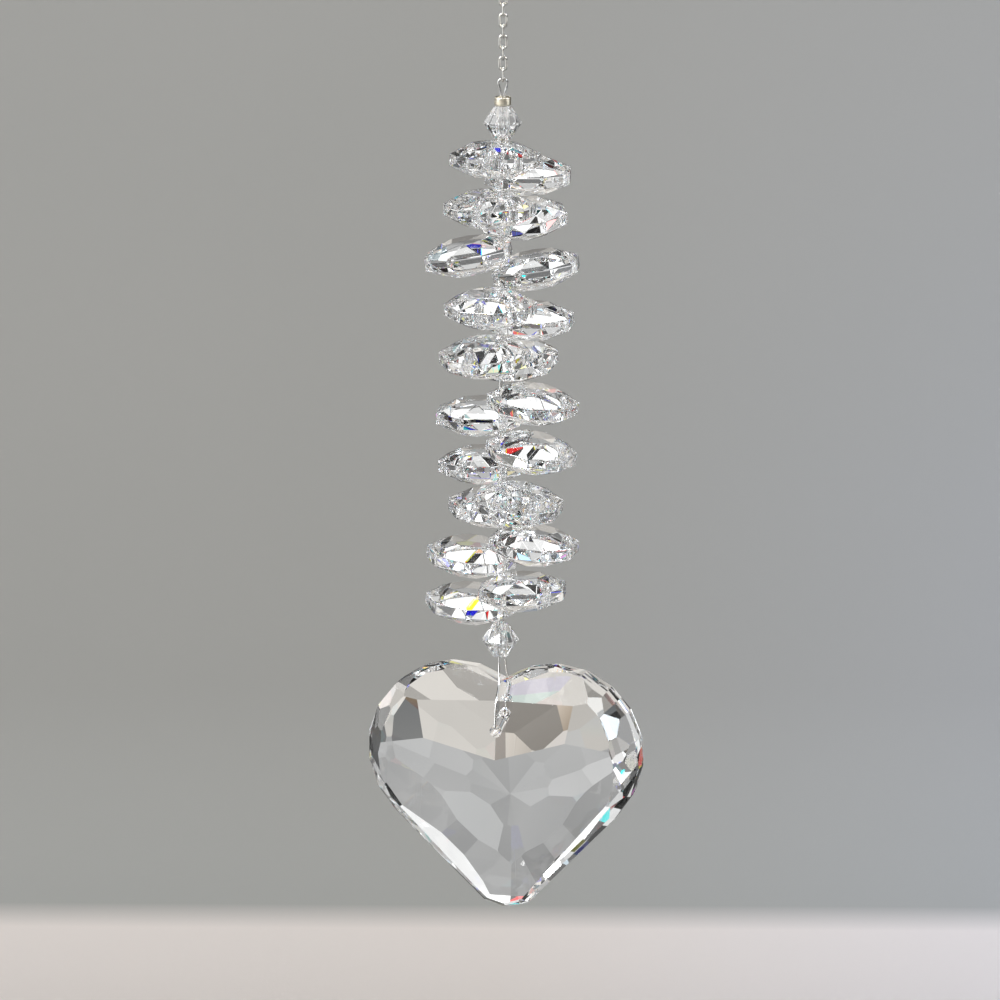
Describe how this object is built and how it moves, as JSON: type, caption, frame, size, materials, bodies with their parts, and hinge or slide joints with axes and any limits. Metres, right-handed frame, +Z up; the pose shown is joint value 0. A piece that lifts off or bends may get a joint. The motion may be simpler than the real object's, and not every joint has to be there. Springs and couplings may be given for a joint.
{
  "type": "crystal suncatcher",
  "caption": "Hanging suncatcher: a faceted crystal heart under a column of crystal octagon and bicone beads threaded on wire, hung on a fine chain that ends in a ring.",
  "frame": {"origin": "top of the hanging ring's hole, where a hook bears", "axes": "+Z up along the hanging line; the heart's front faces -Y, turned a little to the left"},
  "size_m": [0.0457, 0.026, 0.1636],
  "materials": {
    "crystal": "polished clear lead-type crystal, ground holes",
    "heart_crystal": "polished clear lead-type crystal, faceted both sides",
    "steel": "polished plated steel chain and ring",
    "wire": "drawn steel threading wire",
    "collar": "pale gilt brass crimp collar, slightly tarnished"
  },
  "bodies": {
    "root": {"hanging_ring": "steel", "chain_link_01": "steel", "chain_link_02": "steel", "chain_link_03": "steel", "chain_link_04": "steel", "chain_link_05": "steel", "chain_link_06": "steel", "chain_link_07": "steel", "chain_link_08": "steel", "chain_link_09": "steel", "threading_wire": "wire", "crimp_collar": "collar", "top_bicone_bead": "crystal", "octagon_bead_01": "crystal", "octagon_bead_02": "crystal", "octagon_bead_03": "crystal", "octagon_bead_04": "crystal", "octagon_bead_05": "crystal", "octagon_bead_06": "crystal", "octagon_bead_07": "crystal", "octagon_bead_08": "crystal", "octagon_bead_09": "crystal", "octagon_bead_10": "crystal", "octagon_bead_11": "crystal", "octagon_bead_12": "crystal", "octagon_bead_13": "crystal", "octagon_bead_14": "crystal", "octagon_bead_15": "crystal", "octagon_bead_16": "crystal", "octagon_bead_17": "crystal", "octagon_bead_18": "crystal", "octagon_bead_19": "crystal", "octagon_bead_20": "crystal", "bottom_bicone_bead": "crystal", "heart_prism": "heart_crystal"}
  },
  "joints": []
}
